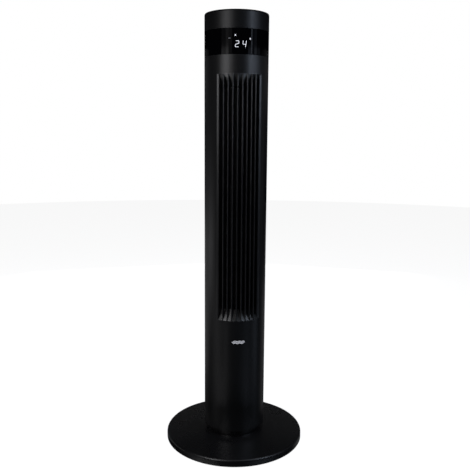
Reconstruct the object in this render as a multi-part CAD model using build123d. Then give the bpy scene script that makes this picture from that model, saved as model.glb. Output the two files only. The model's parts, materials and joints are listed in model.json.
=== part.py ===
from build123d import *
import os
from math import acos, cos, pi, radians, sin, tan

# Tower fan, about 1.1 m tall, modelled in millimetres with +Z up and the front facing -Y.
# The origin is the centre of the base where it stands on the floor.
# An upright round column turns on a weighted round base. Inside the column a cross-flow impeller
# draws air in through the rear grille and blows it out between the fins of the front grille.
# Angles round the column are azimuths in degrees from the front (-Y), positive towards +X.

# ---- driving dimensions ---------------------------------------------------------------------
HEIGHT = 1103.0            # floor to the top of the cap
COLUMN_R = 80.0            # outer radius of the column
WALL = 2.5                 # moulded wall of the column shells
COLUMN_Z0 = 44.0           # lower edge of the column shells
SHELL_Z1 = 1000.0          # upper edge of the column shells
SEAM = 0.5                 # visible joint line between two mouldings
BAND_Z1 = 1060.0           # upper edge of the glossy display band
SHELL_SPLIT = 95.0         # azimuth of the joint between the front and rear shells
SHELL_IN = COLUMN_R - WALL
INNER_FIT = SHELL_IN - 0.3  # radius of what slips inside the shells

# front grille
WINDOW_HALF = 44.25        # half angle of the window in the front shell
WINDOW_Z0, WINDOW_Z1 = 343.0, 957.0
FINS = 8
FIN_ANGLE = 2.15           # angle taken by each wedge-shaped fin, 3 mm at its outer edge
FIN_PITCH = 8.594          # angle from one fin to the next
FIN_IN = 62.0              # radius of the fins' inner edge
RAMP = 27.0                # height of the slope at each end of a slot
SLOT_LIP = 1.0             # straight edge before the slope
SLOTS_HALF = 39.1          # half angle taken by all the slots
LEAD_R, LEAD_ANGLE = 11.0, 4.8  # rounding of the frame towards the outer slots, and the angle it takes

# rear grille
REAR_HALF = 50.0
REAR_Z0, REAR_Z1 = 360.0, 925.0
REAR_BARS = 25
REAR_ROWS = 9
REAR_RIB = 3.0

# carry handle, a pocket in the rear shell
HANDLE_W, HANDLE_Z0, HANDLE_Z1 = 96.0, 948.0, 984.0
HANDLE_BACK = 50.0         # distance of the pocket's floor from the column's axis

# impeller
IMPELLER_R, IMPELLER_IN = 48.0, 37.0
IMPELLER_Z0 = 359.6
SECTION, SECTIONS = 40.3, 14
IMPELLER_Z1 = IMPELLER_Z0 + SECTION * SECTIONS
BLADES = 34
DISC_T = 1.6
END_DISC_T = 2.4

# fan motor, hung under its bracket
BRACKET_Z, BRACKET_T = 345.0, 3.0
MOTOR_R = 45.0
MOTOR_Z0, MOTOR_Z1 = 262.0, 338.0
STATOR_Z0, STATOR_Z1 = 288.0, 312.0
SHAFT_R = 4.0

# top bearing
BRIDGE_Z, BRIDGE_T = 945.0, 3.0
PIN_R = 3.0
COLLAR_PIN_R = 10.0        # steel collars that clamp the impeller's end discs

# base and swivel
BASE_R = 182.0
RIM_Z0, RIM_Z1 = 3.0, 15.5
BASE_EDGE_Z = 20.3
BASE_HUB_R, BASE_HUB_Z = 77.0, 27.6
BASE_FLAT_Z = 25.6
BASE_T = 3.0
PLATE_T = 3.0
COLLAR_R, COLLAR_Z1 = 70.0, 41.7
FLOOR_Z, FLOOR_T = 46.0, 3.0
PIVOT_R, PIVOT_BORE = 18.0, 14.0
RUNNING = 0.05             # radial clearance of a running fit
HUB_Z1 = 74.0
FEET, FOOT_R, FEET_PCR = 8, 9.0, 168.0

# swing drive: a pinion on the column's motor rolls round a gear fixed to the base
MODULE = 1.0
GEAR_TEETH, PINION_TEETH = 54, 18
GEAR_Z0, GEAR_T = 74.3, 6.0
CENTRES = MODULE * (GEAR_TEETH + PINION_TEETH) / 2
SWING_MOTOR_R, SWING_MOTOR_X = 24.0, 49.5

# head: band, boards and buttons
CAP_Z1, SHELF_Z = 1099.7, 1094.5
PANEL_Z = 1101.0           # surface of the dished part of the control panel
PANEL_R = 66.0
BUTTON_R, POWER_R = 7.0, 11.0
BUTTON_PCR = 36.0
BUTTON_AZIMUTHS = {"speed": -63.0, "mode": -21.0, "timer": 21.0, "swing": 63.0}
BOARD_Z, BOARD_T = 1086.0, 1.6

# cord gland in the rim of the base
GLAND_Z, GLAND_BORE, GLAND_R, GLAND_FLANGE = 9.5, 3.6, 4.8, 6.2


# ---- helpers --------------------------------------------------------------------------------
def polar(r, azimuth):
    """Point at radius r and azimuth from the front."""
    a = radians(azimuth)
    return (r * sin(a), -r * cos(a))


def disc(r, z0, z1, x=0.0, y=0.0):
    return extrude(Pos(x, y, z0) * Circle(r), amount=z1 - z0)


def ring(r_out, r_in, z0, z1, x=0.0, y=0.0):
    return extrude(Pos(x, y, z0) * (Circle(r_out) - Circle(r_in)), amount=z1 - z0)


def block(x0, x1, y0, y1, z0, z1):
    centre = Pos((x0 + x1) / 2, (y0 + y1) / 2, (z0 + z1) / 2)
    return centre * Box(x1 - x0, y1 - y0, z1 - z0)


def sector_face(r_out, r_in, a0, a1):
    """Flat piece of a ring between two azimuths."""
    mid = (a0 + a1) / 2
    return make_face([
        ThreePointArc(polar(r_out, a0), polar(r_out, mid), polar(r_out, a1)),
        Line(polar(r_out, a1), polar(r_in, a1)),
        ThreePointArc(polar(r_in, a1), polar(r_in, mid), polar(r_in, a0)),
        Line(polar(r_in, a0), polar(r_out, a0)),
    ])


def sector(r_out, r_in, a0, a1, z0, z1):
    return extrude(Pos(0, 0, z0) * sector_face(r_out, r_in, a0, a1), amount=z1 - z0)


def rod_y(r, x, z, y0, y1):
    """Rod along Y."""
    return Pos(x, (y0 + y1) / 2, z) * Rot(90, 0, 0) * Cylinder(r, abs(y1 - y0))


def turned(points):
    """Solid of revolution about Z from (radius, z) points."""
    outline = Polyline(*[(r, 0, z) for r, z in points], close=True)
    return revolve(make_face(outline), axis=Axis.Z, revolution_arc=360)


def turned_sector(face, a0, a1):
    """Part of a solid of revolution between two azimuths, from a face in the XZ plane."""
    return revolve(Rot(0, 0, a0 - 90) * face, axis=Axis.Z, revolution_arc=a1 - a0)


def round_array(shape, count, start=0.0):
    return [Rot(0, 0, start + 360.0 * k / count) * shape for k in range(count)]


def screw(length, r=1.4, head_r=3.0, head_h=2.0):
    """Pan-head screw with a cross recess; it seats at the origin and its shank points up."""
    cross = Box(head_r * 1.2, 0.7, 1.6) + Box(0.7, head_r * 1.2, 1.6)
    return disc(r, 0, length) + disc(head_r, -head_h, 0) - Pos(0, 0, -head_h) * cross


def screw_places(r, start, count):
    return [polar(r, start + 360.0 * k / count) for k in range(count)]


def group(shapes):
    """Several separate solids in one node."""
    return Compound(children=[s.solid() for s in shapes])


# ---- base -----------------------------------------------------------------------------------
def base_cover():
    """Domed cover of the base, with a rounded rim and a flat seat for the swivel."""
    rim_in = BASE_R - BASE_T
    bend = BASE_R - (BASE_EDGE_Z - RIM_Z1)
    arc_mid = (bend + 3.4, RIM_Z1 + 3.4)
    p = lambda r, z: (r, 0, z)
    outline = [
        Line(p(BASE_R, RIM_Z0), p(BASE_R, RIM_Z1)),
        ThreePointArc(p(BASE_R, RIM_Z1), p(*arc_mid), p(bend, BASE_EDGE_Z)),
        Polyline(
            p(bend, BASE_EDGE_Z), p(BASE_HUB_R, BASE_HUB_Z), p(BASE_HUB_R, BASE_FLAT_Z),
            p(16.0, BASE_FLAT_Z), p(16.0, BASE_FLAT_Z - BASE_T), p(BASE_HUB_R - 2, BASE_FLAT_Z - BASE_T),
            p(bend, BASE_EDGE_Z - BASE_T), p(rim_in, RIM_Z1 - 0.5), p(rim_in, RIM_Z0),
            p(BASE_R, RIM_Z0),
        ),
    ]
    cover = revolve(make_face(outline), axis=Axis.Z, revolution_arc=360)
    for x, y in screw_places(163.0, 45.0, 4):
        cover += ring(4.5, 1.5, RIM_Z0 + PLATE_T, BASE_EDGE_Z - 1.0, x, y)
    cover -= rod_y(GLAND_R, 0, GLAND_Z, BASE_R - 10, BASE_R + 5)
    cover -= rod_y(GLAND_FLANGE, 0, GLAND_Z, BASE_R - 2.0, BASE_R + 5)
    for x, y in screw_places(31.0, 0.0, 3):
        cover -= disc(1.5, BASE_FLAT_Z - BASE_T - 1, BASE_FLAT_Z + 1, x, y)
    return cover


def base_plate():
    """Flat bottom cover of the base, with seats for the feet."""
    z0, z1 = RIM_Z0, RIM_Z0 + PLATE_T
    plate = disc(BASE_R - BASE_T - 0.3, z0, z1)
    for x, y in screw_places(FEET_PCR, 22.5, FEET):
        plate -= disc(4.0, z0 - 1, z1 + 1, x, y)
    for x, y in screw_places(163.0, 45.0, 4):
        plate -= disc(1.6, z0 - 1, z1 + 1, x, y) + disc(3.4, z0 - 1, z0 + 1.9, x, y)
    return plate - block(-7, 7, BASE_R - 12, BASE_R, z0 - 1, z1 + 1)


def rubber_feet():
    z1 = RIM_Z0 + PLATE_T
    feet = []
    for x, y in screw_places(FEET_PCR, 22.5, FEET):
        pad = disc(FOOT_R, 0, RIM_Z0, x, y)
        pad = chamfer(pad.faces().sort_by(Axis.Z)[0].edges(), 0.6)
        feet.append(pad + disc(3.9, RIM_Z0, z1 - 0.2, x, y))
    return group(feet)


def base_screws():
    seat = RIM_Z0 + 1.9
    return group([Pos(x, y, seat) * screw(11.0, head_h=1.7) for x, y in screw_places(163.0, 45.0, 4)])


def base_weight():
    """Pressed steel ring that keeps the fan upright."""
    z0 = RIM_Z0 + PLATE_T
    weight = ring(148.0, 58.0, z0, z0 + 4.0)
    for x, y in screw_places(103.0, 30.0, 6):
        weight -= disc(14.0, z0 - 1, z0 + 6, x, y)
    return weight


def cord_gland():
    """Flanged grommet in the back of the rim, where the mains cord leaves."""
    y_out = BASE_R - 0.1
    body = rod_y(GLAND_R - 0.05, 0, GLAND_Z, y_out - 9.0, y_out - 1.9)
    flange = rod_y(GLAND_FLANGE - 0.1, 0, GLAND_Z, y_out - 1.9, y_out)
    lip = rod_y(GLAND_R + 0.8, 0, GLAND_Z, y_out - 9.0, y_out - 6.5)
    bore = rod_y(GLAND_BORE, 0, GLAND_Z, y_out - 20, y_out + 10)
    return body + flange + lip - bore


def swivel_collar():
    """Neck of the base under the column."""
    wall = ring(COLLAR_R, 62.0, BASE_FLAT_Z, COLLAR_Z1)
    return wall + ring(62.0, 42.0, BASE_FLAT_Z, BASE_FLAT_Z + 3.0)


def thrust_ring():
    """Low-friction ring that the column turns on."""
    return ring(69.8, 62.2, COLLAR_Z1, FLOOR_Z - 0.3)


def pivot_tube():
    """Hollow spindle fixed to the base; the wiring passes up through it."""
    tube = ring(PIVOT_R, PIVOT_BORE, BASE_FLAT_Z, 90.0)
    flange = ring(40.0, PIVOT_BORE, BASE_FLAT_Z, BASE_FLAT_Z + 3.5)
    spindle = tube + flange
    for x, y in screw_places(31.0, 0.0, 3):
        spindle -= disc(1.6, BASE_FLAT_Z - 1, BASE_FLAT_Z + 6, x, y)
    return spindle


def pivot_screws():
    down = Pos(0, 0, BASE_FLAT_Z + 3.5) * Rot(180, 0, 0)
    return group([Pos(x, y, 0) * down * screw(10.0) for x, y in screw_places(31.0, 0.0, 3)])


def ring_nut():
    """Slotted nut on the spindle, which keeps the column from lifting off."""
    z0 = GEAR_Z0 + GEAR_T
    nut = ring(24.0, PIVOT_R + RUNNING, z0, z0 + 5.0)
    return nut - [Rot(0, 0, 90 * k) * block(21, 30, -3, 3, z0 + 1.5, z0 + 9) for k in range(4)]


# ---- swing drive ----------------------------------------------------------------------------
def gear_face(teeth, phase, backlash=0.15, addendum=0.95, dedendum=1.25, points=6):
    """Involute spur gear outline; a tooth is centred on +X when phase is 0."""
    pressure = radians(20)
    r_pitch = MODULE * teeth / 2
    r_base, r_tip, r_root = r_pitch * cos(pressure), r_pitch + addendum, r_pitch - dedendum
    inv = lambda r: tan(acos(min(r_base / r, 1.0))) - acos(min(r_base / r, 1.0))
    half = (pi * MODULE / 2 - backlash) / 2 / r_pitch + inv(r_pitch)
    r_start = max(r_base, r_root)
    foot = half - inv(r_start)
    pitch = radians(360.0 / teeth)

    def at(r, angle):
        return (r * cos(angle), r * sin(angle))

    edges = []
    for k in range(teeth):
        mid = k * pitch + radians(phase)
        radii = [r_start + (r_tip - r_start) * i / (points - 1) for i in range(points)]
        rising = [at(r, mid - half + inv(r)) for r in radii]
        falling = [at(r, mid + half - inv(r)) for r in reversed(radii)]
        edges += [Spline(*rising), ThreePointArc(rising[-1], at(r_tip, mid), falling[0]), Spline(*falling)]
        if r_start > r_root + 1e-6:
            edges += [Line(at(r_root, mid - foot), rising[0]), Line(falling[-1], at(r_root, mid + foot))]
        gap = [at(r_root, mid + angle) for angle in (foot, pitch / 2, pitch - foot)]
        edges.append(ThreePointArc(*gap))
    return make_face(edges)


def swing_gear():
    face = gear_face(GEAR_TEETH, 0.0) - Circle(PIVOT_R + RUNNING)
    return extrude(Pos(0, 0, GEAR_Z0) * face, amount=GEAR_T)


def swing_pinion():
    gap_to_gear = 180.0 / PINION_TEETH
    z0 = GEAR_Z0 - 0.3
    teeth = extrude(Pos(CENTRES, 0, z0) * gear_face(PINION_TEETH, gap_to_gear), amount=GEAR_T + 0.6)
    return teeth + disc(5.5, z0 - 2.4, z0, CENTRES, 0) + disc(2.45, z0 - 4.7, z0 - 2.4, CENTRES, 0)


def swing_motor():
    """Slow geared motor that turns the column."""
    z0 = FLOOR_Z + FLOOR_T
    body = disc(SWING_MOTOR_R, z0, z0 + 19.0, SWING_MOTOR_X, 0)
    body = fillet(body.faces().sort_by(Axis.Z)[-1].edges(), 1.5)
    boss = disc(6.0, z0 + 19.0, z0 + 21.0, CENTRES, 0) - disc(2.8, z0 + 15.0, z0 + 23.0, CENTRES, 0)
    body = body - disc(2.8, z0 + 15.0, z0 + 23.0, CENTRES, 0) + boss
    body += block(SWING_MOTOR_X - 4, SWING_MOTOR_X + 4, -31.0, 31.0, z0 + 15.0, z0 + 17.0)
    for side in (-1, 1):
        body -= disc(1.7, z0, z0 + 20.0, SWING_MOTOR_X, side * 28.0)
    return body


def swing_motor_screws():
    down = Pos(SWING_MOTOR_X, 0, FLOOR_Z + FLOOR_T + 17.0) * Rot(180, 0, 0)
    return group([Pos(0, side * 28.0, 0) * down * screw(14.0, r=1.25) for side in (-1, 1)])


# ---- column ---------------------------------------------------------------------------------
SCREW_ROWS = (90.0, 310.0, 640.0, 968.0)
POST_X, POST_JOIN, POST_FRONT = 69.5, 8.0, -37.5


def on_face(point):
    """Whether a point lies on the column's outer surface."""
    return abs((point.X ** 2 + point.Y ** 2) ** 0.5 - COLUMN_R) < 0.01


def front_housing():
    """Front half of the column, with the window for the front grille."""
    shell = sector(COLUMN_R, SHELL_IN, -SHELL_SPLIT, SHELL_SPLIT, COLUMN_Z0, SHELL_Z1)
    window = sector(COLUMN_R + 5, SHELL_IN - 10, -WINDOW_HALF, WINDOW_HALF, WINDOW_Z0, WINDOW_Z1)
    shell -= window
    outer = shell.edges().filter_by(Axis.Z).filter_by(lambda e: e.length > WINDOW_Z1 - WINDOW_Z0 - 1)
    jambs = outer.filter_by(lambda e: e.length < WINDOW_Z1 - WINDOW_Z0 + 1 and on_face(e.center()))
    shell = chamfer(jambs, 0.3)
    posts, pilots = [], []
    for z in SCREW_ROWS:
        for side in (-1, 1):
            posts.append(rod_y(4.0, side * POST_X, z, POST_FRONT - 4, POST_JOIN))
            pilots.append(rod_y(1.45, side * POST_X, z, POST_JOIN - 16, POST_JOIN + 1))
    inside = disc(COLUMN_R - 1.0, COLUMN_Z0, SHELL_Z1)
    shell += [post & inside for post in posts]
    return shell - pilots


def rear_housing():
    """Rear half of the column, with the window for the rear grille, the handle opening and screw wells."""
    a0 = SHELL_SPLIT + 0.3
    shell = sector(COLUMN_R, SHELL_IN, a0, 360 - a0, COLUMN_Z0, SHELL_Z1)
    shell -= sector(COLUMN_R + 5, SHELL_IN - 10, 180 - REAR_HALF, 180 + REAR_HALF, REAR_Z0, REAR_Z1)
    shell -= block(-HANDLE_W / 2, HANDLE_W / 2, 30, 100, HANDLE_Z0, HANDLE_Z1)
    inside = disc(COLUMN_R - 0.8, COLUMN_Z0, SHELL_Z1)
    wells, bores = [], []
    for z in SCREW_ROWS:
        for side in (-1, 1):
            wells.append(rod_y(5.0, side * POST_X, z, POST_JOIN + 0.3, 45.0) & inside)
            bores.append(rod_y(3.4, side * POST_X, z, POST_JOIN + 3.0, 60.0))
            bores.append(rod_y(1.8, side * POST_X, z, POST_JOIN - 5.0, 20.0))
    return shell + wells - bores


def case_screws():
    """Self-tapping screws that hold the shells together and the cap to the head frame."""
    screws = []
    for z in SCREW_ROWS:
        for side in (-1, 1):
            screws.append(Pos(side * POST_X, POST_JOIN + 3.0, z) * Rot(90, 0, 0) * screw(14.0))
    for x, y in screw_places(67.0, 45.0, 4):
        screws.append(Pos(x, y, 1078.0) * screw(14.0))
    return group(screws)


def slot_profile(r_out, near, far, low, high):
    """Upright section of a slot: each end slopes from the face back to the fins' inner edge."""
    slope = RAMP / (r_out - FIN_IN)
    rise, drop = (r_out - near) * slope, (far - r_out) * slope
    corners = [(far, low - drop), (near, low + rise), (near, high - rise), (far, high + drop)]
    return make_face(Polyline(*[(r, 0, z) for r, z in corners], close=True))


def front_grille():
    """Radial fins, flush with the column, in a frame that is rounded towards the outer slots."""
    half = WINDOW_HALF - 0.15
    z0, z1 = WINDOW_Z0 + 0.1, WINDOW_Z1 - 0.1
    r_out = COLUMN_R - 0.1
    far = r_out + 3.0
    wall = SLOTS_HALF + 1.0
    grille = sector(r_out, FIN_IN, -wall, wall, z0, z1)
    grille += sector(r_out, INNER_FIT - 2.0, -half, half, z0, z1)
    grille += sector(INNER_FIT, INNER_FIT - 2.0, -half - 4, half + 4, z0 - 8, z1 + 8)

    profile = slot_profile(r_out, FIN_IN - 3.0, far, z0 + SLOT_LIP, z1 - SLOT_LIP)
    fins = [(k - (FINS - 1) / 2) * FIN_PITCH for k in range(FINS)]
    starts = [-SLOTS_HALF] + [a + FIN_ANGLE / 2 for a in fins]
    ends = [a - FIN_ANGLE / 2 for a in fins] + [SLOTS_HALF]
    slots = [turned_sector(profile, a0, a1) for a0, a1 in zip(starts, ends)]

    nose_r = radians(FIN_ANGLE) * (r_out - 1.5) / 2
    noses = []
    for azimuth in fins:
        x, y = polar(r_out - nose_r, azimuth)
        spread = FIN_ANGLE / 2 + 0.3
        tip = sector_face(far, r_out - nose_r, azimuth - spread, azimuth + spread) - Pos(x, y) * Circle(nose_r)
        noses.append(extrude(Pos(0, 0, z0 + SLOT_LIP) * tip, amount=z1 - z0 - 2 * SLOT_LIP))

    leads = []
    for side in (-1, 1):
        flush = side * (SLOTS_HALF + LEAD_ANGLE)
        open_side = side * (SLOTS_HALF - 0.5)
        a0, a1 = min(flush, open_side), max(flush, open_side)
        x, y = polar(r_out - LEAD_R, flush)
        corner = sector_face(far, r_out - 4.0, a0, a1) - Pos(x, y) * Circle(LEAD_R)
        leads.append(extrude(Pos(0, 0, z0) * corner, amount=z1 - z0) & turned_sector(profile, a0, a1))
    return grille - slots - noses - leads


def rear_grille():
    """Upright bars between ribs, set in the rear window."""
    half = REAR_HALF - 0.2
    z0, z1 = REAR_Z0 + 0.2, REAR_Z1 - 0.2
    r_out, r_in = COLUMN_R - 0.4, COLUMN_R - 3.2
    row = (z1 - z0 - REAR_RIB) / REAR_ROWS
    bar = 1.5                                    # angle taken by one bar
    step = (2 * half - bar) / (REAR_BARS - 1)
    bars = Sketch() + [
        sector_face(r_out, r_in, 180 - half + k * step, 180 - half + k * step + bar) for k in range(REAR_BARS)
    ]
    upright = extrude(Pos(0, 0, z0) * bars, amount=z1 - z0)
    ribs = [
        sector(r_out - 0.5, r_in - 1.0, 180 - half, 180 + half, z0 + k * row, z0 + k * row + REAR_RIB)
        for k in range(REAR_ROWS + 1)
    ]
    solids = list(upright.solids())
    return ribs[0].fuse(*ribs[1:], *solids)


def handle_cup():
    """Pocket for the fingers, let into the rear shell."""
    gap, wall = 0.2, 2.0
    x, z0, z1 = HANDLE_W / 2 - gap, HANDLE_Z0 + gap, HANDLE_Z1 - gap
    outer = block(-x, x, HANDLE_BACK, 100, z0, z1)
    outer = fillet(outer.edges().filter_by(Axis.Y), 1.0)
    inner = block(-x + wall, x - wall, HANDLE_BACK + wall, 110, z0 + wall, z1 - wall)
    inner = fillet(inner.edges().filter_by(Axis.Y), 5.0)
    return (outer - inner) & disc(COLUMN_R - 0.1, z0 - 5, z1 + 5)


def column_floor():
    """Floor of the column: it turns on the spindle and carries the swing motor."""
    z1 = FLOOR_Z + FLOOR_T
    plate = ring(INNER_FIT, PIVOT_R + RUNNING, FLOOR_Z, z1)
    hub = ring(23.5, PIVOT_R + RUNNING, FLOOR_Z, HUB_Z1)
    rim = ring(INNER_FIT, INNER_FIT - 2.2, FLOOR_Z, z1 + 9)
    floor = plate + hub + rim
    for side in (-1, 1):
        boss = ring(3.6, 1.3, z1, z1 + 15.0 - 0.05, SWING_MOTOR_X, side * 28.0)
        floor += boss
    return floor


def badge():
    """Plain raised plate on the front, under the grille."""
    half, z0, z1 = 12.5, 284.0, 293.0
    plate = sector(COLUMN_R + 0.5, COLUMN_R, -half, half, z0, z1)
    radial = [e for e in plate.edges() if e.geom_type == GeomType.LINE and e.length < 1.0]
    return fillet(radial, 4.0)


# ---- air duct and impeller ------------------------------------------------------------------
DUCT_Z0, DUCT_Z1 = BRACKET_Z + BRACKET_T, BRIDGE_Z


def duct_scroll():
    """Curved wall that guides the air round the impeller to the front."""
    inside = [(60.5, -44.0), (60.0, -75.0), (56.5, -105.0), (52.0, -138.0)]
    skin = 1.8
    a, b, c, d = [polar(r, az) for r, az in inside]
    a2, b2, c2, d2 = [polar(r + skin, az) for r, az in inside]
    face = make_face([Spline(a, b, c, d), Line(d, d2), Spline(d2, c2, b2, a2), Line(a2, a)])
    wall = extrude(Pos(0, 0, DUCT_Z0) * face, amount=DUCT_Z1 - DUCT_Z0)
    lip = sector(74.8, 60.6, -44.0, -42.6, DUCT_Z0, DUCT_Z1)
    return wall + lip


def duct_tongue():
    """Narrow wall on the other side, with a rounded nose close to the impeller."""
    nose_r, nose_az = 53.5, 68.0
    x, y = polar(nose_r, nose_az)
    nose = Pos(x, y, 0) * Circle(3.0)
    wall = make_face(Polyline(polar(74.8, 43.0), polar(74.8, 45.0), polar(nose_r + 3.0, nose_az + 1.2),
                              polar(nose_r + 0.0, nose_az - 3.1), polar(61.0, 43.0), close=True))
    return extrude(Pos(0, 0, DUCT_Z0) * (wall + nose), amount=DUCT_Z1 - DUCT_Z0)


def blade_face():
    """Cross-section of one forward-curved blade."""
    sweep = [(IMPELLER_IN, 0.0), (42.6, 5.0), (IMPELLER_R - 0.4, 15.0)]
    thick = 1.4                                   # angle between the blade's two faces
    a, b, c = [polar(r, az) for r, az in sweep]
    a2, b2, c2 = [polar(r, az + thick) for r, az in sweep]
    return make_face([ThreePointArc(a, b, c), Line(c, c2), ThreePointArc(c2, b2, a2), Line(a2, a)])


def impeller_sections():
    """Moulded sections, each a ring with its blades, stacked and welded."""
    hoop = ring(IMPELLER_R, IMPELLER_IN - 1.0, 0, DISC_T)
    blade = extrude(Pos(0, 0, DISC_T) * blade_face(), amount=SECTION - DISC_T)
    section = hoop.fuse(*round_array(blade, BLADES)).solid()
    return group([Pos(0, 0, IMPELLER_Z0 + k * SECTION) * section for k in range(SECTIONS)])


def impeller_hub():
    """Lower end disc."""
    return ring(IMPELLER_R, SHAFT_R, IMPELLER_Z0 - END_DISC_T, IMPELLER_Z0)


def impeller_end():
    """Upper end disc."""
    return ring(IMPELLER_R, PIN_R, IMPELLER_Z1, IMPELLER_Z1 + END_DISC_T)


def impeller_pin():
    """Steel pin with a turned collar on the upper end disc; it runs in the top bearing."""
    base = IMPELLER_Z1 + END_DISC_T
    collar = disc(COLLAR_PIN_R, base, base + 7.0)
    collar = fillet(collar.faces().sort_by(Axis.Z)[-1].edges(), 1.5)
    return collar + disc(PIN_R, IMPELLER_Z1 - 14.0, BRIDGE_Z + 12.0)


def top_bearing():
    """Sintered bush in a rubber boot."""
    return ring(7.5, PIN_R + RUNNING, BRIDGE_Z - 5.0, BRIDGE_Z + 7.0)


def bearing_boot():
    return ring(13.0, 7.5, BRIDGE_Z - 6.0, BRIDGE_Z + 8.0)


def bearing_bridge():
    """Bulkhead at the top of the duct, which carries the bearing."""
    plate = ring(INNER_FIT, 13.0, BRIDGE_Z, BRIDGE_Z + BRIDGE_T)
    cup = ring(16.0, 13.0, BRIDGE_Z - 6.0, BRIDGE_Z + 8.0)
    bridge = plate + cup
    bridge -= block(-HANDLE_W / 2 - 1, HANDLE_W / 2 + 1, HANDLE_BACK - 1, 100, BRIDGE_Z - 9, BRIDGE_Z + 9)
    for side in (-1, 1):
        x = side * POST_X
        bridge -= block(x - 6.0, x + 6.0, -40.0, 50.0, BRIDGE_Z - 9, BRIDGE_Z + 20)
    return bridge - grille_relief() - loom_hole()


def grille_relief():
    """Room for the front grille's flange and fins, taken from the bulkheads."""
    fins = sector(COLUMN_R, FIN_IN - 1.0, -SLOTS_HALF - 2, SLOTS_HALF + 2, 300.0, SHELL_Z1)
    return fins + sector(COLUMN_R, INNER_FIT - 3.0, -WINDOW_HALF - 5, WINDOW_HALF + 5, 300.0, SHELL_Z1)


# ---- fan motor ------------------------------------------------------------------------------
EAR_R = 54.0


def motor_bracket():
    """Bulkhead at the bottom of the duct, from which the motor hangs."""
    bracket = ring(INNER_FIT, 12.0, BRACKET_Z, BRACKET_Z + BRACKET_T)
    bracket += ring(68.0, 65.5, BRACKET_Z - 10.0, BRACKET_Z)
    for x, y in screw_places(EAR_R, 45.0, 4):
        bracket -= disc(1.4, BRACKET_Z - 1, BRACKET_Z + 6, x, y)
    return bracket - grille_relief() - loom_hole()


def bell(z_open, z_end, inward):
    """Pressed end cover of the motor, open towards the stator."""
    z0, z1 = min(z_open, z_end), max(z_open, z_end)
    cup = disc(MOTOR_R, z0, z1)
    end = cup.faces().sort_by(Axis.Z)[-1 if inward < 0 else 0]
    cup = fillet(end.edges(), 6.0)
    zc = z_end + inward * 1.6
    hollow = disc(MOTOR_R - 1.6, min(z_open, zc) - (1 if inward < 0 else 0), max(z_open, zc) + (1 if inward > 0 else 0))
    edge = hollow.faces().sort_by(Axis.Z)[-1 if inward < 0 else 0]
    hollow = fillet(edge.edges(), 4.5)
    cup -= hollow
    seat0, seat1 = sorted((z_end + inward * 1.0, z_end + inward * 10.0))
    cup += disc(11.0, seat0, seat1)
    cup -= disc(8.0, seat0 - 5, seat1 + 5)
    vents = [Rot(0, 0, 60 * k) * disc(5.0, z0 - 1, z1 + 1, 26.0, 0) for k in range(6)]
    return cup - vents


def motor_upper_bell():
    cup = bell(STATOR_Z1, MOTOR_Z1, -1)
    z1 = MOTOR_Z1 - 8.0
    for k in range(4):
        ear = block(MOTOR_R - 1.5, EAR_R + 5.0, -6.0, 6.0, z1 - 2.0, z1)
        ear -= disc(4.2, z1 - 5, z1 + 5, EAR_R, 0)
        cup += Rot(0, 0, 45 + 90 * k) * ear
    return cup


def motor_lower_bell():
    return bell(STATOR_Z0, MOTOR_Z0, 1)


def motor_stator():
    """Stack of laminations with winding slots."""
    body = ring(MOTOR_R - 0.2, 28.6, STATOR_Z0, STATOR_Z1)
    slot = block(31.0, 38.5, -2.6, 2.6, STATOR_Z0 - 1, STATOR_Z1 + 1)
    mouth = block(27.0, 32.0, -0.9, 0.9, STATOR_Z0 - 1, STATOR_Z1 + 1)
    return body - round_array(slot + mouth, 16)


def motor_windings():
    """End turns of the winding, above and below the stator."""
    ends = []
    for z0, z1 in ((STATOR_Z1, STATOR_Z1 + 11.0), (STATOR_Z0 - 11.0, STATOR_Z0)):
        coil = ring(40.0, 30.0, z0, z1)
        outer = coil.edges().filter_by(GeomType.CIRCLE)
        far = [e for e in outer if abs(e.center().Z - (z1 if z0 >= STATOR_Z1 else z0)) < 0.1]
        ends.append(fillet(far, 3.5))
    return group(ends)


def motor_rotor():
    return ring(28.0, SHAFT_R, STATOR_Z0 - 1.0, STATOR_Z1 + 1.0)


def motor_shaft():
    """Motor shaft with the collar that clamps the impeller."""
    collar = disc(COLLAR_PIN_R, IMPELLER_Z0, IMPELLER_Z0 + 10.0)
    collar = fillet(collar.faces().sort_by(Axis.Z)[-1].edges(), 2.0)
    return disc(SHAFT_R, MOTOR_Z0 - 4.0, IMPELLER_Z0 + 16.0) + collar


def motor_bearings():
    return group([ring(8.0, SHAFT_R + RUNNING, z, z + 7.0) for z in (MOTOR_Z0 + 2.0, MOTOR_Z1 - 9.0)])


def motor_grommets():
    """Rubber bushes between the motor's ears and the bracket."""
    z0 = MOTOR_Z1 - 8.0
    bushes = []
    for x, y in screw_places(EAR_R, 45.0, 4):
        bush = ring(7.0, 2.2, z0, BRACKET_Z, x, y) + ring(4.1, 2.2, z0 - 2.0, z0, x, y)
        bushes.append(bush + ring(7.0, 2.2, z0 - 5.0, z0 - 2.0, x, y))
    return group(bushes)


def motor_screws():
    seat = MOTOR_Z1 - 13.0
    length = BRACKET_Z + BRACKET_T - 0.3 - seat
    return group([Pos(x, y, seat) * screw(length, r=1.35, head_r=4.0) for x, y in screw_places(EAR_R, 45.0, 4)])


# ---- electronics ----------------------------------------------------------------------------
BRACKET_Y = 22.0


def board_bracket():
    """Channel fixed to the rear shell, which carries the power board."""
    z0, z1 = 110.0, 232.0
    back = block(-46, 46, BRACKET_Y, BRACKET_Y + 2, z0, z1)
    sides = [block(x, x + 2, BRACKET_Y, 61.5, z0, z1) for x in (-46, 44)]
    posts = [rod_y(3.0, x, z, BRACKET_Y - 5, BRACKET_Y) for x in (-36, 36) for z in (z0 + 12, z1 - 12)]
    return (back + sides).fuse(*posts)


def power_board():
    y1 = BRACKET_Y - 5
    return block(-42, 42, y1 - 1.6, y1, 114, 228)


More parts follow.
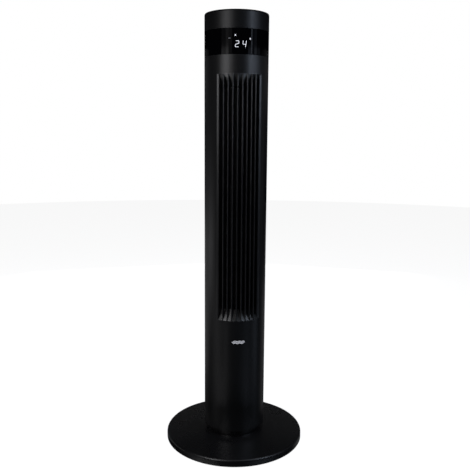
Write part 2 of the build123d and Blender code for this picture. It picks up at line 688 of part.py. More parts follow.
def board_parts():
    """Relays, transformer, fuse and terminals on the power board."""
    y = BRACKET_Y - 5 - 1.6
    boxes = [(-36, -16, 18.0, 196, 220), (-12, 4, 15.0, 198, 218), (8, 24, 15.0, 198, 218),
             (-34, -4, 24.0, 150, 184), (4, 36, 6.0, 172, 182), (-36, 36, 10.0, 118, 128)]
    parts = [block(x0, x1, y - deep, y, z0, z1) for x0, x1, deep, z0, z1 in boxes]
    parts += [rod_y(5.0, 12 + 13 * k, 148, y - 22, y) for k in range(2)]
    return group(parts)


def run_capacitor():
    """Motor capacitor, strapped beside the power board."""
    body = block(-62, -49, -8, 26, 150, 190)
    return fillet(body.edges().filter_by(Axis.Z), 3.0)


LOOM_X, LOOM_Y, LOOM_R = -58.0, 44.0, 2.5


def loom_hole():
    return disc(LOOM_R + 1.0, 300.0, 1030.0, LOOM_X, LOOM_Y)


def wiring_loom():
    """Sleeved wires from the spindle, up behind the duct, to the control board."""
    x, y = LOOM_X, LOOM_Y
    low = Spline((0, 0, 91), (0.2 * x, 0.2 * y, 98), (0.8 * x, 0.8 * y, 101), (x, y, 118),
                 tangents=[(0, 0, 1), (0, 0, 1)])
    rise = Line((x, y, 118), (x, y, 995))
    high = Spline((x, y, 995), (0.7 * x, 0.7 * y, 1055), (0.55 * x, 0.55 * y, BOARD_Z),
                  tangents=[(0, 0, 1), (0, 0, 1)])
    return sweep(Pos(0, 0, 91) * Circle(LOOM_R), path=Wire([low, rise, high]))


def head_frame():
    """Inner frame of the head: it carries the band, the boards and the cap."""
    z0, z1 = 988.0, 1078.0
    tube = ring(76.9, 74.4, z0, z1)
    bulkhead = ring(INNER_FIT, 20.0, z0 - 3.0, z0)
    flange = ring(76.9, 60.0, z1, z1 + 3.0)
    frame = tube + bulkhead + flange
    frame -= block(-34, 34, -85, -60, 1005, 1051)
    for x, y in screw_places(67.0, 45.0, 4):
        frame -= disc(1.6, z1 - 1, z1 + 4, x, y)
    for x, y in screw_places(54.0, 0.0, 3):
        frame += disc(2.6, z0 - 1.0, BOARD_Z, x, y)
    for side in (-1, 1):
        frame += block(side * 34 - 2, side * 34 + 2, -66, -60, z0 - 1, 1050)
    frame -= loom_hole()
    return frame


def display_band():
    """Glossy ring round the head, which the display shines through."""
    return ring(COLUMN_R, SHELL_IN, SHELL_Z1 + SEAM, BAND_Z1)


def display_board():
    return block(-32, 32, -65.6, -64.0, 1006, 1049)


def digit_module():
    """Two-digit LED module behind the band, with its indicator lamps."""
    module = block(-15.5, 15.5, -74.0, -65.6, 1010, 1034)
    lamps = []
    for azimuth, z in ((-19.5, 1036.5), (-8.0, 1043.5), (4.5, 1043.5), (17.0, 1036.5)):
        x, y = polar(74.0, azimuth)
        lamps.append(rod_y(1.6, x, z + 2.5, y + 0.5, -65.6))
    return group([module] + lamps)


def button_place(name):
    return (0.0, 0.0) if name == "power" else polar(BUTTON_PCR, BUTTON_AZIMUTHS[name])


def button_radius(name):
    return POWER_R if name == "power" else BUTTON_R


def top_cap():
    """Collar of the head above the band, with a shelf for the control panel."""
    cap = ring(COLUMN_R, SHELL_IN, BAND_Z1 + SEAM, CAP_Z1) + ring(SHELL_IN + 0.5, 61.5, SHELF_Z, SHELF_Z + 2.5)
    for x, y in screw_places(67.0, 45.0, 4):
        cap += ring(4.0, 1.45, 1081.0, SHELF_Z, x, y)
    return cap


def control_panel():
    """Glossy plate that closes the head, slightly dished round the keys."""
    plate = disc(COLUMN_R - 0.6, CAP_Z1 + 0.3, HEIGHT) + disc(SHELL_IN - 0.3, SHELF_Z + 2.5, CAP_Z1 + 0.3)
    plate = fillet(plate.faces().sort_by(Axis.Z)[-1].edges(), 1.2)
    plate -= disc(60.0, SHELF_Z, PANEL_Z - 2.5) + disc(PANEL_R, PANEL_Z, HEIGHT + 1)
    lip = [e for e in plate.edges().filter_by(GeomType.CIRCLE)
           if abs(e.radius - PANEL_R) < 0.01 and abs(e.center().Z - HEIGHT) < 0.01]
    plate = fillet(lip, 1.0)
    for name in ("power", *BUTTON_AZIMUTHS):
        x, y = button_place(name)
        plate -= disc(button_radius(name) + 0.3, PANEL_Z - 6, PANEL_Z + 4, x, y)
    return plate


def button(name):
    """Key cap with a retaining flange and a stem over its switch."""
    x, y = button_place(name)
    r = button_radius(name)
    key = disc(r, PANEL_Z - 5.0, PANEL_Z + 1.4, x, y)
    key = fillet(key.faces().sort_by(Axis.Z)[-1].edges(), 0.7)
    flange = disc(r + 1.8, PANEL_Z - 5.0, PANEL_Z - 2.8, x, y)
    stem = disc(2.0, PANEL_Z - 8.0, PANEL_Z - 5.0, x, y)
    return key + flange + stem


def control_board():
    return disc(58.0, BOARD_Z, BOARD_Z + BOARD_T)


def tact_switches():
    """One push switch under each button."""
    top = PANEL_Z - 8.0 - 1.2
    switches = []
    for name in ("power", *BUTTON_AZIMUTHS):
        x, y = button_place(name)
        body = block(x - 3, x + 3, y - 3, y + 3, BOARD_Z + BOARD_T, top - 0.8)
        switches.append(body + disc(1.7, top - 0.8, top, x, y))
    return group(switches)


# ---- all nodes ------------------------------------------------------------------------------
NODES = {
    "base_cover": base_cover, "base_plate": base_plate, "base_weight": base_weight,
    "rubber_feet": rubber_feet, "base_screws": base_screws, "cord_gland": cord_gland,
    "swivel_collar": swivel_collar, "thrust_ring": thrust_ring, "pivot_tube": pivot_tube,
    "pivot_screws": pivot_screws, "swing_gear": swing_gear, "ring_nut": ring_nut,
    "swing_motor": swing_motor, "swing_motor_screws": swing_motor_screws,
    "swing_pinion": swing_pinion, "column_floor": column_floor,
    "front_housing": front_housing, "rear_housing": rear_housing, "case_screws": case_screws,
    "front_grille": front_grille, "rear_grille": rear_grille, "handle_cup": handle_cup, "badge": badge,
    "duct_scroll": duct_scroll, "duct_tongue": duct_tongue, "impeller_sections": impeller_sections,
    "impeller_hub": impeller_hub, "impeller_end": impeller_end,
    "impeller_pin": impeller_pin, "top_bearing": top_bearing, "bearing_boot": bearing_boot,
    "bearing_bridge": bearing_bridge, "motor_bracket": motor_bracket,
    "motor_upper_bell": motor_upper_bell, "motor_lower_bell": motor_lower_bell,
    "motor_stator": motor_stator, "motor_windings": motor_windings, "motor_rotor": motor_rotor,
    "motor_shaft": motor_shaft, "motor_bearings": motor_bearings, "motor_grommets": motor_grommets,
    "motor_screws": motor_screws, "board_bracket": board_bracket, "power_board": power_board,
    "board_parts": board_parts, "run_capacitor": run_capacitor, "wiring_loom": wiring_loom,
    "head_frame": head_frame,
    "display_band": display_band, "display_board": display_board, "digit_module": digit_module,
    "top_cap": top_cap, "control_panel": control_panel, "control_board": control_board, "tact_switches": tact_switches,
}
BUTTONS = ("power", *BUTTON_AZIMUTHS)

os.makedirs("parts", exist_ok=True)
for node, make in NODES.items():
    export_step(make(), f"parts/{node}.step")
for name in BUTTONS:
    export_step(button(name), f"parts/{name}_button.step")
print(len(NODES) + len(BUTTONS), "nodes")
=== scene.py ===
import bpy
import json
from math import cos, pi, radians, sin, sqrt
from mathutils import Matrix, Vector


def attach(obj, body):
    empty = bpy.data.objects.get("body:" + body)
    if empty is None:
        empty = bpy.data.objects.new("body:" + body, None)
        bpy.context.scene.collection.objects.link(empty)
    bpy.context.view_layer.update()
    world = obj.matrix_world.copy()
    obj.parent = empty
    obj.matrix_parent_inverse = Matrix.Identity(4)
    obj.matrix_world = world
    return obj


# Tower fan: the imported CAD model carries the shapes, and this script adds materials, the lit display,
# the key symbols, the badge's mark, the studio and the camera. The scene is in metres; the marks are
# drawn in millimetres.

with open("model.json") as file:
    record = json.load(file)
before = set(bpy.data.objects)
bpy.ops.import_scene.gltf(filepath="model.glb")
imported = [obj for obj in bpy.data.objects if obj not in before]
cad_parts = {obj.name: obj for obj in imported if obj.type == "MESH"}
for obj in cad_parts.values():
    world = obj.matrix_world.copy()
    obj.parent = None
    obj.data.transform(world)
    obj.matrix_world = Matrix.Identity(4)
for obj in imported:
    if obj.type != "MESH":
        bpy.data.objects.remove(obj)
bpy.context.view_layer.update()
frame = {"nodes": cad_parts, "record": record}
nodes = frame["nodes"]

MM = 0.001
COLUMN_R = 0.080              # outer radius of the column, where the marks lie


# ---- materials ------------------------------------------------------------------------------
class Maker:
    """A node material round one Principled shader, with layers added by method."""

    def __init__(self, name, color, rough, metallic=0.0, specular=0.5):
        self.mat = bpy.data.materials.new(name)
        self.mat.use_nodes = True
        self.tree = self.mat.node_tree
        self.bsdf = self.tree.nodes["Principled BSDF"]
        self.color = color
        self.rough = rough
        self.bsdf.inputs["Base Color"].default_value = (*color, 1.0)
        self.bsdf.inputs["Roughness"].default_value = rough
        self.bsdf.inputs["Metallic"].default_value = metallic
        self.bsdf.inputs["Specular IOR Level"].default_value = specular
        self.coords = self.tree.nodes.new("ShaderNodeTexCoord").outputs["Object"]
        self.normal = None

    def link(self, a, b):
        self.tree.links.new(a, b)

    def node(self, kind, **settings):
        made = self.tree.nodes.new(kind)
        for key, value in settings.items():
            setattr(made, key, value)
        return made

    def stretched(self, scale):
        mapping = self.node("ShaderNodeMapping")
        mapping.inputs["Scale"].default_value = scale
        self.link(self.coords, mapping.inputs["Vector"])
        return mapping.outputs["Vector"]

    def noise(self, scale, detail=3.0, stretch=None):
        made = self.node("ShaderNodeTexNoise")
        made.inputs["Scale"].default_value = scale
        made.inputs["Detail"].default_value = detail
        self.link(self.stretched(stretch) if stretch else self.coords, made.inputs["Vector"])
        return made.outputs["Fac"]

    def wave(self, scale, direction="Z", distortion=0.0):
        made = self.node("ShaderNodeTexWave", wave_type="BANDS", bands_direction=direction)
        made.inputs["Scale"].default_value = scale
        made.inputs["Distortion"].default_value = distortion
        self.link(self.coords, made.inputs["Vector"])
        return made.outputs["Fac"]

    def spread(self, value, low, high):
        made = self.node("ShaderNodeMapRange")
        made.inputs["From Min"].default_value = 0.3
        made.inputs["From Max"].default_value = 0.7
        made.inputs["To Min"].default_value = low
        made.inputs["To Max"].default_value = high
        self.link(value, made.inputs["Value"])
        return made.outputs["Result"]

    def vary_color(self, value, other):
        """The colour wanders between its own and another one with the value."""
        mix = self.node("ShaderNodeMix", data_type="RGBA")
        mix.inputs["A"].default_value = (*self.color, 1.0)
        mix.inputs["B"].default_value = (*other, 1.0)
        self.link(self.spread(value, 0.0, 1.0), mix.inputs["Factor"])
        self.link(mix.outputs["Result"], self.bsdf.inputs["Base Color"])
        return self

    def vary_rough(self, value, amount):
        self.link(self.spread(value, self.rough - amount, self.rough + amount), self.bsdf.inputs["Roughness"])
        return self

    def bump(self, value, height, strength=0.5):
        made = self.node("ShaderNodeBump")
        made.inputs["Strength"].default_value = strength
        made.inputs["Distance"].default_value = height
        self.link(value, made.inputs["Height"])
        if self.normal:
            self.link(self.normal, made.inputs["Normal"])
        self.normal = made.outputs["Normal"]
        self.link(self.normal, self.bsdf.inputs["Normal"])
        return self

    def glow(self, color, strength):
        self.bsdf.inputs["Emission Color"].default_value = (*color, 1.0)
        self.bsdf.inputs["Emission Strength"].default_value = strength
        return self


def moulded(name, color, rough, specular, grain=0.00003, tone=1.25):
    """Moulded plastic: a fine spark-eroded grain, faint flow marks and slow changes of gloss."""
    m = Maker(name, color, rough, specular=specular)
    m.vary_color(m.noise(6.0, 2.0), tuple(c * tone for c in color))
    m.vary_rough(m.noise(14.0, 4.0, (1, 1, 0.3)), 0.03)
    m.bump(m.noise(2600.0, 2.0), grain, 0.35)
    return m


def metal(name, color, rough, brush=(1, 1, 1), scale=900.0):
    """Metal with fine brush or rolling marks along one direction."""
    m = Maker(name, color, rough, metallic=1.0)
    m.vary_color(m.noise(25.0, 3.0), tuple(c * 0.8 for c in color))
    m.vary_rough(m.noise(scale, 2.0, brush), 0.06)
    m.bump(m.noise(scale, 3.0, brush), 0.00002, 0.3)
    return m


def make_materials():
    made = {}
    made["shell_plastic"] = moulded("shell_satin", (0.0100, 0.0102, 0.0112), 0.36, 1.0)
    grille = moulded("grille_satin", (0.0130, 0.0133, 0.0146), 0.34, 1.0)
    grille.bsdf.inputs["IOR"].default_value = 1.65
    made["grille_plastic"] = grille
    # The cap's plastic is the shells' own, darker and less reflective: painted shade that dims the cap's
    # highlight.
    made["cap_plastic"] = moulded("cap_satin_painted_shade", (0.0085, 0.0087, 0.0097), 0.36, 0.72)
    made["inner_plastic"] = moulded("inner_dark", (0.0110, 0.0110, 0.0115), 0.50, 0.4, 0.00005)
    made["impeller_plastic"] = moulded("impeller_dark", (0.0280, 0.0280, 0.0300), 0.36, 0.8)
    made["key_plastic"] = moulded("key_satin", (0.0300, 0.0305, 0.0330), 0.38, 0.6)
    made["component_black"] = moulded("component_moulded", (0.0200, 0.0200, 0.0220), 0.45, 0.5)
    made["white_acetal"] = moulded("acetal_natural", (0.72, 0.71, 0.67), 0.35, 0.5, tone=0.94)

    band = Maker("band_polished", (0.0020, 0.0020, 0.0026), 0.06, specular=0.08)
    band.vary_color(band.noise(5.0), (0.0030, 0.0031, 0.0042))
    band.vary_rough(band.noise(40.0, 5.0), 0.015)
    band.bump(band.noise(30.0, 1.0), 0.00002, 0.10)
    made["gloss_band"] = band

    base = Maker("base_semigloss", (0.0110, 0.0110, 0.0121), 0.28, specular=1.0)
    base.vary_color(base.noise(7.0, 2.0), (0.0130, 0.0130, 0.0143))
    base.vary_rough(base.noise(22.0, 5.0), 0.03)
    base.bump(base.noise(1800.0, 2.0), 0.00002, 0.2)
    made["base_plastic"] = base

    rubber = Maker("rubber_black", (0.012, 0.012, 0.012), 0.75, specular=0.3)
    rubber.vary_color(rubber.noise(60.0, 4.0), (0.020, 0.020, 0.019))
    rubber.bump(rubber.noise(900.0, 4.0), 0.00008, 0.5)
    made["rubber"] = rubber

    made["steel"] = metal("steel_zinc", (0.52, 0.52, 0.53), 0.34, (1, 1, 12))
    made["motor_steel"] = metal("steel_pressed", (0.42, 0.42, 0.43), 0.40)
    made["screw_steel"] = metal("steel_blackened", (0.10, 0.10, 0.11), 0.38)
    made["bronze"] = metal("bronze_sintered", (0.45, 0.30, 0.14), 0.50)
    made["badge_metal"] = metal("badge_brushed", (0.36, 0.365, 0.38), 0.30, (1, 1, 60), 300.0)

    iron = Maker("iron_pressed", (0.08, 0.08, 0.085), 0.62, metallic=0.8)
    iron.vary_color(iron.noise(90.0, 6.0), (0.13, 0.12, 0.115))
    iron.bump(iron.noise(500.0, 5.0), 0.00020, 0.6)
    made["weight_iron"] = iron

    stack = Maker("lamination_stack", (0.26, 0.26, 0.27), 0.42, metallic=1.0)
    stack.vary_color(stack.wave(300.0), (0.12, 0.12, 0.13))
    stack.bump(stack.wave(300.0), 0.0001, 0.6)
    made["laminations"] = stack

    coil = Maker("copper_winding", (0.55, 0.23, 0.09), 0.30, metallic=1.0)
    coil.vary_color(coil.wave(220.0, "Z", 2.0), (0.33, 0.12, 0.05))
    coil.bump(coil.wave(220.0, "Z", 2.0), 0.0003, 0.8)
    made["copper"] = coil

    board = Maker("circuit_board", (0.010, 0.070, 0.028), 0.35)
    board.vary_color(board.noise(160.0, 2.0), (0.030, 0.140, 0.055))
    board.bump(board.noise(160.0, 2.0), 0.00003, 0.4)
    made["board_green"] = board

    lamp = Maker("lamp_diffuser", (0.70, 0.72, 0.75), 0.5)
    lamp.vary_color(lamp.noise(300.0), (0.60, 0.62, 0.66))
    made["led_white"] = lamp

    sleeve = Maker("braided_sleeve", (0.030, 0.030, 0.033), 0.6)
    sleeve.vary_color(sleeve.wave(700.0, "DIAGONAL"), (0.060, 0.060, 0.065))
    sleeve.bump(sleeve.wave(700.0, "DIAGONAL"), 0.0003, 0.8)
    made["loom_sleeve"] = sleeve
    return {slot: m.mat for slot, m in made.items()}


def lit_material(name, strength):
    """A pale symbol that glows as if lit from behind, its pale colour a little uneven; on the display's
    digits and lamps this is their own light, on the printed key symbols and the badge's mark it is a painted
    glow.
    """
    m = Maker(name, (0.6, 0.62, 0.68), 0.4)
    m.vary_color(m.noise(400.0), (0.5, 0.52, 0.60))
    return m.glow((0.90, 0.92, 1.0), strength).mat


def dress_frame(materials):
    """Each CAD node gets the material of its slot; the cap gets a darker, less reflective copy of the shells'
    plastic, painted shade that dims its highlight.
    """
    slots = {s["node"]: s["material_slot"] for s in frame["record"]["subparts"]}
    for name, obj in nodes.items():
        obj.data.materials.clear()
        look = "cap_plastic" if name == "top_cap" else slots[name]
        obj.data.materials.append(materials[look])


# ---- printed and lit marks ------------------------------------------------------------------
def on_band(u, z, d):
    """A point on the column's face: u mm round it from the front, height z, d mm proud."""
    azimuth = u * MM / COLUMN_R
    r = COLUMN_R + d * MM
    return (r * sin(azimuth), -r * cos(azimuth), z * MM)


def on_panel(height):
    """A placer for marks on a level face at a height."""
    def place(x, y, d):
        return (x * MM, y * MM, (height + d) * MM)
    return place


def arc(cx, cy, r, a0, a1, steps=14):
    """Points on an arc from angle a0 to a1, in degrees."""
    angles = [radians(a0 + (a1 - a0) * k / steps) for k in range(steps + 1)]
    return [(cx + r * cos(a), cy + r * sin(a)) for a in angles]


STROKE_STEP = 0.6             # longest step along a stroke
END_ANGLES = (90, 65, 40, 15)  # where a round end has its stations, from the tip inward
TIP_HALF = 0.02               # half the width left at the tip


def resample(points):
    """The same line with points at most one step apart."""
    out = [points[0]]
    for (x0, y0), (x1, y1) in zip(points, points[1:]):
        n = max(1, int(sqrt((x1 - x0) ** 2 + (y1 - y0) ** 2) / STROKE_STEP + 0.999))
        out += [(x0 + (x1 - x0) * k / n, y0 + (y1 - y0) * k / n) for k in range(1, n + 1)]
    return out


def round_end(station, way):
    """Stations of a stroke's round end, tip first; way is -1 at the start and 1 at the finish."""
    x, y, tx, ty, half = station
    out = []
    for angle in END_ANGLES:
        c = sin(radians(angle))
        reach = way * half * c
        out.append((x + tx * reach, y + ty * reach, tx, ty, max(half * sqrt(1 - c * c), TIP_HALF)))
    return out


def stroke(points, width, place, proud, verts, faces):
    """A line of some width with round ends, as a thin closed solid."""
    half = width / 2
    line = resample(points)
    stations = []
    for k, (x, y) in enumerate(line):
        x0, y0 = line[max(k - 1, 0)]
        x1, y1 = line[min(k + 1, len(line) - 1)]
        size = sqrt((x1 - x0) ** 2 + (y1 - y0) ** 2)
        stations.append((x, y, (x1 - x0) / size, (y1 - y0) / size, half))
    head = round_end(stations[0], -1)
    tail = round_end(stations[-1], 1)[::-1]
    rings = []
    for x, y, tx, ty, h in head + stations + tail:
        start = len(verts)
        for side, d in ((-1, 0.0), (1, 0.0), (1, proud), (-1, proud)):
            verts.append(place(x - ty * h * side, y + tx * h * side, d))
        rings.append(start)
    for a, b in zip(rings, rings[1:]):
        for k in range(4):
            n = (k + 1) % 4
            faces.append((a + k, b + k, b + n, a + n))
    first, last = rings[0], rings[-1]
    faces.append((first, first + 1, first + 2, first + 3))
    faces.append((last + 3, last + 2, last + 1, last))


def marks(name, strokes, place, proud, material, body):
    """One piece made of strokes, each (points, width), that rides with a body."""
    verts, faces = [], []
    for points, width in strokes:
        stroke(points, width, place, proud, verts, faces)
    mesh = bpy.data.meshes.new(name)
    mesh.from_pydata(verts, [], faces)
    mesh.validate()
    mesh.update()
    obj = bpy.data.objects.new(name, mesh)
    bpy.context.scene.collection.objects.link(obj)
    mesh.materials.append(material)
    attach(obj, body)
    return obj


def shifted(strokes, dx, dy, scale):
    """The same strokes, widths too, scaled about their origin and moved."""
    return [([(x * scale + dx, y * scale + dy) for x, y in pts], w * scale) for pts, w in strokes]


DIGIT_W, DIGIT_H, DIGIT_STROKE, DIGIT_SLANT = 7.6, 13.8, 1.05, 0.16
DIGIT_GAP = 9.8
DIGIT_Z = 1016.8              # lower end of the digits' strokes
DIGIT_GLOW = 1.15
MARK_PROUD = 0.05             # how far the display's and the badge's marks stand out
SEGMENT_LINES = {
    "2": [
        (0, 1), (0.75, 1), (1, 0.86), (1, 0.66), (0.86, 0.55),
        (0.14, 0.42), (0, 0.30), (0, 0.10), (0.12, 0), (1, 0),
    ],
    "4a": [(0, 1), (0, 0.56), (0.12, 0.44), (1, 0.44)],
    "4b": [(1, 1), (1, 0)],
}


def digit(parts, x0):
    """Strokes of one slanted digit whose lower left corner is at x0."""
    out = []
    for part in parts:
        points = [(u * DIGIT_W, v * DIGIT_H) for u, v in SEGMENT_LINES[part]]
        line = [(x0 + x + z * DIGIT_SLANT, DIGIT_Z + z) for x, z in points]
        out.append((line, DIGIT_STROKE))
    return out


def icon_fan():
    strokes = [(arc(0, 0, 0.5, 0, 360), 0.6)]
    for k in range(3):
        a = 90 + 120 * k
        cx, cy = 1.5 * cos(radians(a)), 1.5 * sin(radians(a))
        strokes.append((arc(cx, cy, 0.85, a - 150, a + 150), 0.75))
    return strokes


def icon_moon():
    return [(arc(0, 0, 2.0, 60, 330), 0.75), (arc(1.0, 0.45, 1.6, 110, 285), 0.75)]


def icon_clock():
    return [(arc(0, 0, 2.1, 0, 360, 24), 0.75), ([(0, 1.3), (0, 0), (1.0, -0.6)], 0.7)]


def icon_swing():
    return [
        (arc(0, -1.2, 2.4, 35, 145), 0.75),
        ([(-2.9, 1.0), (-2.0, 0.2), (-1.1, 1.3)], 0.7),
        ([(2.9, 1.0), (2.0, 0.2), (1.1, 1.3)], 0.7),
    ]


def icon_power():
    return [(arc(0, 0, 2.2, 125, 415, 24), 0.8), ([(0, 0.7), (0, 3.0)], 0.8)]


def icon_wave():
    """Three plain wavy lines, like moving air."""
    rows = []
    for row, reach in ((-3.0, 15), (0.0, 18), (3.0, 15)):
        rows.append(([(x, row + 0.9 * sin(x * pi / 6)) for x in range(-reach, reach + 1)], 1.2))
    return rows


LAMP_SCALE = 0.72
# Each lamp: its icon, azimuth, height and glow.
LAMPS = (
    ("fan", icon_fan, -9.3, 1043.6, 1.3),
    ("clock", icon_clock, 16.6, 1036.0, 1.3),
    ("swing", icon_swing, -19.5, 1036.0, 0.25),
)


def add_display():
    left = -(2 * DIGIT_W + DIGIT_GAP) / 2 - DIGIT_SLANT * DIGIT_H / 2
    strokes = digit(["2"], left) + digit(["4a", "4b"], left + DIGIT_W + DIGIT_GAP)
    marks("display_digits", strokes, on_band, MARK_PROUD, lit_material("digits_lit", DIGIT_GLOW), "tower")
    for name, icon, azimuth, z, glow in LAMPS:
        u = radians(azimuth) * COLUMN_R / MM
        material = lit_material("lamp_" + name + "_lit", glow)
        marks("lamp_" + name, shifted(icon(), u, z, LAMP_SCALE), on_band, MARK_PROUD, material, "tower")


KEY_TOP = 1102.4              # the keys' upper faces at rest
KEY_RING = 36.0               # radius on which the four small keys lie
KEY_PROUD = 0.03
POWER_SCALE, KEY_SCALE = 1.6, 1.2
KEYS = {
    "speed": (-63.0, icon_fan),
    "mode": (-21.0, icon_moon),
    "timer": (21.0, icon_clock),
    "swing": (63.0, icon_swing),
}


def add_key_symbols(material):
    place = on_panel(KEY_TOP)
    marks("symbol_power", shifted(icon_power(), 0, 0, POWER_SCALE), place, KEY_PROUD, material, "power_key")
    for name, (azimuth, icon) in KEYS.items():
        x, y = KEY_RING * sin(radians(azimuth)), -KEY_RING * cos(radians(azimuth))
        marks("symbol_" + name, shifted(icon(), x, y, KEY_SCALE), place, KEY_PROUD, material, name + "_key")


BADGE_Z = 288.5
BADGE_FACE = 0.5              # how far the badge's plate stands out of the column
BADGE_SCALE = 0.92


def on_badge(u, z, d):
    return on_band(u, z, d + BADGE_FACE)


def add_badge_mark(material):
    waves = shifted(icon_wave(), 0.0, BADGE_Z, BADGE_SCALE)
    marks("badge_mark", waves, on_badge, MARK_PROUD, material, "tower")


# ---- studio ---------------------------------------------------------------------------------
PLAIN, COOL = (1.0, 1.0, 1.03), (0.88, 1.0, 1.22)     # light colours
BOX_DISTANCE = 2.2            # every soft box but the overhead one stands this far from the fan

# Upright soft boxes round the fan: azimuths from the camera's side, positive to its right, heights,
# colour and radiance.
UPRIGHT_BOXES = (
    # key light from the left
    (-54, -38, 1.0, 1.3, PLAIN, 2.1),
    (-38, -28, 1.0, 1.3, PLAIN, 3.6),
    (-54, -38, 1.3, 2.0, PLAIN, 0.35),
    (-38, -28, 1.3, 2.0, PLAIN, 1.0),
    (-28, -16, 1.0, 2.0, PLAIN, 0.6),
    # cooler light from the right, with one narrow strip
    (40, 51.5, 1.0, 1.3, COOL, 1.3),
    (51.5, 55.5, 1.0, 2.0, COOL, 4.0),
    (55.5, 64, 1.0, 2.0, COOL, 0.25),
    (64, 74, 1.0, 1.3, COOL, 1.6),
    (64, 74, 1.3, 2.0, COOL, 0.4),
    (74, 90, 1.0, 1.3, COOL, 0.4),
    # low fill for the column's foot
    (-85, -54, -0.7, -0.1, PLAIN, 0.2),
    (-38, -28, -0.7, -0.1, PLAIN, 0.2),
    (40, 51.5, -0.7, -0.1, COOL, 0.1),
    (74, 90, -0.7, -0.1, COOL, 0.25),
    # edge light on both sides
    (-115, -85, -0.1, 0.3, PLAIN, 0.5),
    (-150, -115, -0.7, 0.3, PLAIN, 0.16),
    (-150, -115, 1.0, 1.3, PLAIN, 0.1),
    (-150, -85, 0.3, 0.7, PLAIN, 0.08),
    (90, 120, 0.3, 0.7, PLAIN, 0.08),
    (90, 150, 1.0, 1.3, PLAIN, 0.1),
    (120, 150, -1.8, -0.1, PLAIN, 0.12),
    # the back, and the sheen on the top of the base
    (-178, -152, -0.7, 0.3, PLAIN, 0.4),
    (152, 178, -0.7, 0.3, PLAIN, 0.4),
    (150, 210, 0.8, 1.4, PLAIN, 0.04),
)
# Soft boxes that face the fan from above and below, for the sloped ends of the grille's slots:
# azimuth, elevation, colour and radiance.
AIMED_BOXES = (
    (-62, 50, PLAIN, 2.2),
    (-44, 50, PLAIN, 2.2),
    (-28, 50, PLAIN, 1.2),
    (44, 50, COOL, 1.2),
    (62, 50, COOL, 2.0),
    (-62, -55, PLAIN, 2.2),
    (-44, -55, PLAIN, 1.5),
    (44, -55, COOL, 0.8),
    (62, -55, COOL, 1.2),
)
AIMED_WIDTH, AIMED_HEIGHT = 0.5, 0.6
AIM_Z = 0.55                  # the height they face
OVERHEAD = 0.15               # radiance of the soft box over the fan
OVERHEAD_SIZE, OVERHEAD_Z = 2.4, 2.35


def soft_box(name, width, height, radiance, color, place, turn):
    """A rectangular area light of even radiance that the camera doesn't see."""
    data = bpy.data.lights.new(name, "AREA")
    data.shape = "RECTANGLE"
    data.size = width
    data.size_y = height
    data.color = color
    data.energy = radiance * pi * width * height
    obj = bpy.data.objects.new(name, data)
    obj.location = place
    obj.rotation_euler = turn
    obj.visible_camera = False
    bpy.context.scene.collection.objects.link(obj)


def upright_box(a0, a1, z0, z1, color, radiance):
    width = 2 * BOX_DISTANCE * sin(radians(a1 - a0) / 2)
    a = radians((a0 + a1) / 2 + CAMERA_AZIMUTH)
    place = (BOX_DISTANCE * sin(a), -BOX_DISTANCE * cos(a), (z0 + z1) / 2)
    soft_box("upright_%g_%g" % (a0, z0), width, z1 - z0, radiance, color, place, (pi / 2, 0, a))


def aimed_box(azimuth, elevation, color, radiance):
    a, e = radians(azimuth + CAMERA_AZIMUTH), radians(elevation)
    reach = BOX_DISTANCE * cos(e)
    place = (reach * sin(a), -reach * cos(a), AIM_Z + BOX_DISTANCE * sin(e))
    name = "aimed_%g_%g" % (azimuth, elevation)
    soft_box(name, AIMED_WIDTH, AIMED_HEIGHT, radiance, color, place, (pi / 2 - e, 0, a))


def add_lights():
    for row in UPRIGHT_BOXES:
        upright_box(*row)
    for row in AIMED_BOXES:
        aimed_box(*row)
    soft_box("overhead", OVERHEAD_SIZE, OVERHEAD_SIZE, OVERHEAD, PLAIN, (0, 0, OVERHEAD_Z), (0, 0, 0))


FLOOR_R, FLOOR_SIDES = 6, 96
FLOOR_DROP = 0.0005           # gap between the floor and the feet, so that they don't share a plane


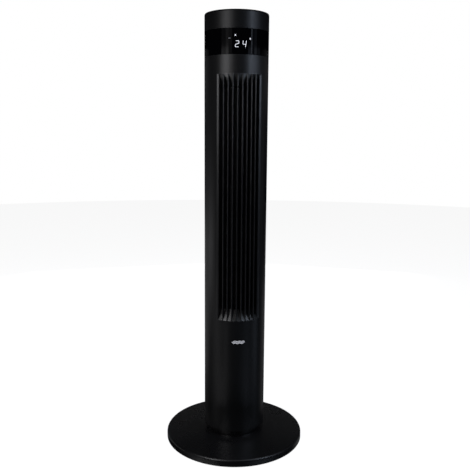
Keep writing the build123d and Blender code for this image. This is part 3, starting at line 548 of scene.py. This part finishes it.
def add_stage():
    """A white floor that only the camera sees, and a white world round it."""
    mesh = bpy.data.meshes.new("floor")
    angles = [2 * pi * k / FLOOR_SIDES for k in range(FLOOR_SIDES)]
    ring = [(FLOOR_R * cos(a), FLOOR_R * sin(a), -FLOOR_DROP) for a in angles]
    mesh.from_pydata(ring, [], [tuple(range(FLOOR_SIDES))])
    floor = bpy.data.objects.new("floor", mesh)
    bpy.context.scene.collection.objects.link(floor)
    paint = Maker("floor_pale", (0.86, 0.86, 0.86), 0.9, specular=0.0)
    paint.vary_color(paint.noise(3.0), (0.88, 0.88, 0.88))
    paint.glow((1, 1, 1), 0.93)
    mesh.materials.append(paint.mat)
    floor.visible_glossy = False
    floor.visible_diffuse = False
    floor.visible_shadow = False

    world = bpy.data.worlds.new("studio")
    world.use_nodes = True
    world.node_tree.nodes["Background"].inputs["Color"].default_value = (1, 1, 1, 1)
    world.cycles_visibility.diffuse = False
    world.cycles_visibility.glossy = False
    world.cycles_visibility.transmission = False
    world.cycles_visibility.scatter = False
    bpy.context.scene.world = world
    bpy.context.scene.view_settings.view_transform = "Standard"


CAMERA_AZIMUTH = -7.0         # degrees round the fan from its front
CAMERA_DISTANCE, CAMERA_HEIGHT = 1.5821, 0.8154
CAMERA_PITCH, CAMERA_ROLL, CAMERA_PAN = radians(9.41), 0.0071, -0.0005
CAMERA_LENS = 47.03


def add_camera():
    """The camera stands before the fan, looks slightly down and is turned round the fan with its azimuth."""
    data = bpy.data.cameras.new("camera")
    data.lens = CAMERA_LENS
    camera = bpy.data.objects.new("camera", data)
    bpy.context.scene.collection.objects.link(camera)
    p, r, s = CAMERA_PITCH, CAMERA_ROLL, CAMERA_PAN
    forward = Vector((sin(s) * cos(p), cos(s) * cos(p), -sin(p)))
    right = Vector((cos(s), -sin(s), 0))
    up = right.cross(forward)
    right_r = right * cos(r) + up * sin(r)
    up_r = up * cos(r) - right * sin(r)
    turn = Matrix.Rotation(radians(CAMERA_AZIMUTH), 4, "Z")
    axes = Matrix((right_r, up_r, -forward)).transposed().to_4x4()
    place = Matrix.Translation((0, -CAMERA_DISTANCE, CAMERA_HEIGHT))
    camera.matrix_world = turn @ place @ axes
    bpy.context.scene.camera = camera


# Glow of the printed key symbols and of the badge's mark: painted light, for neither is a lamp.
SYMBOL_GLOW, BADGE_GLOW = 0.25, 0.6

dress_frame(make_materials())
add_display()
add_key_symbols(lit_material("symbols_printed_painted_glow", SYMBOL_GLOW))
# The badge's printed mark glows: a painted highlight on the print.
add_badge_mark(lit_material("badge_printed_painted_glow", BADGE_GLOW))
add_stage()
add_lights()
add_camera()
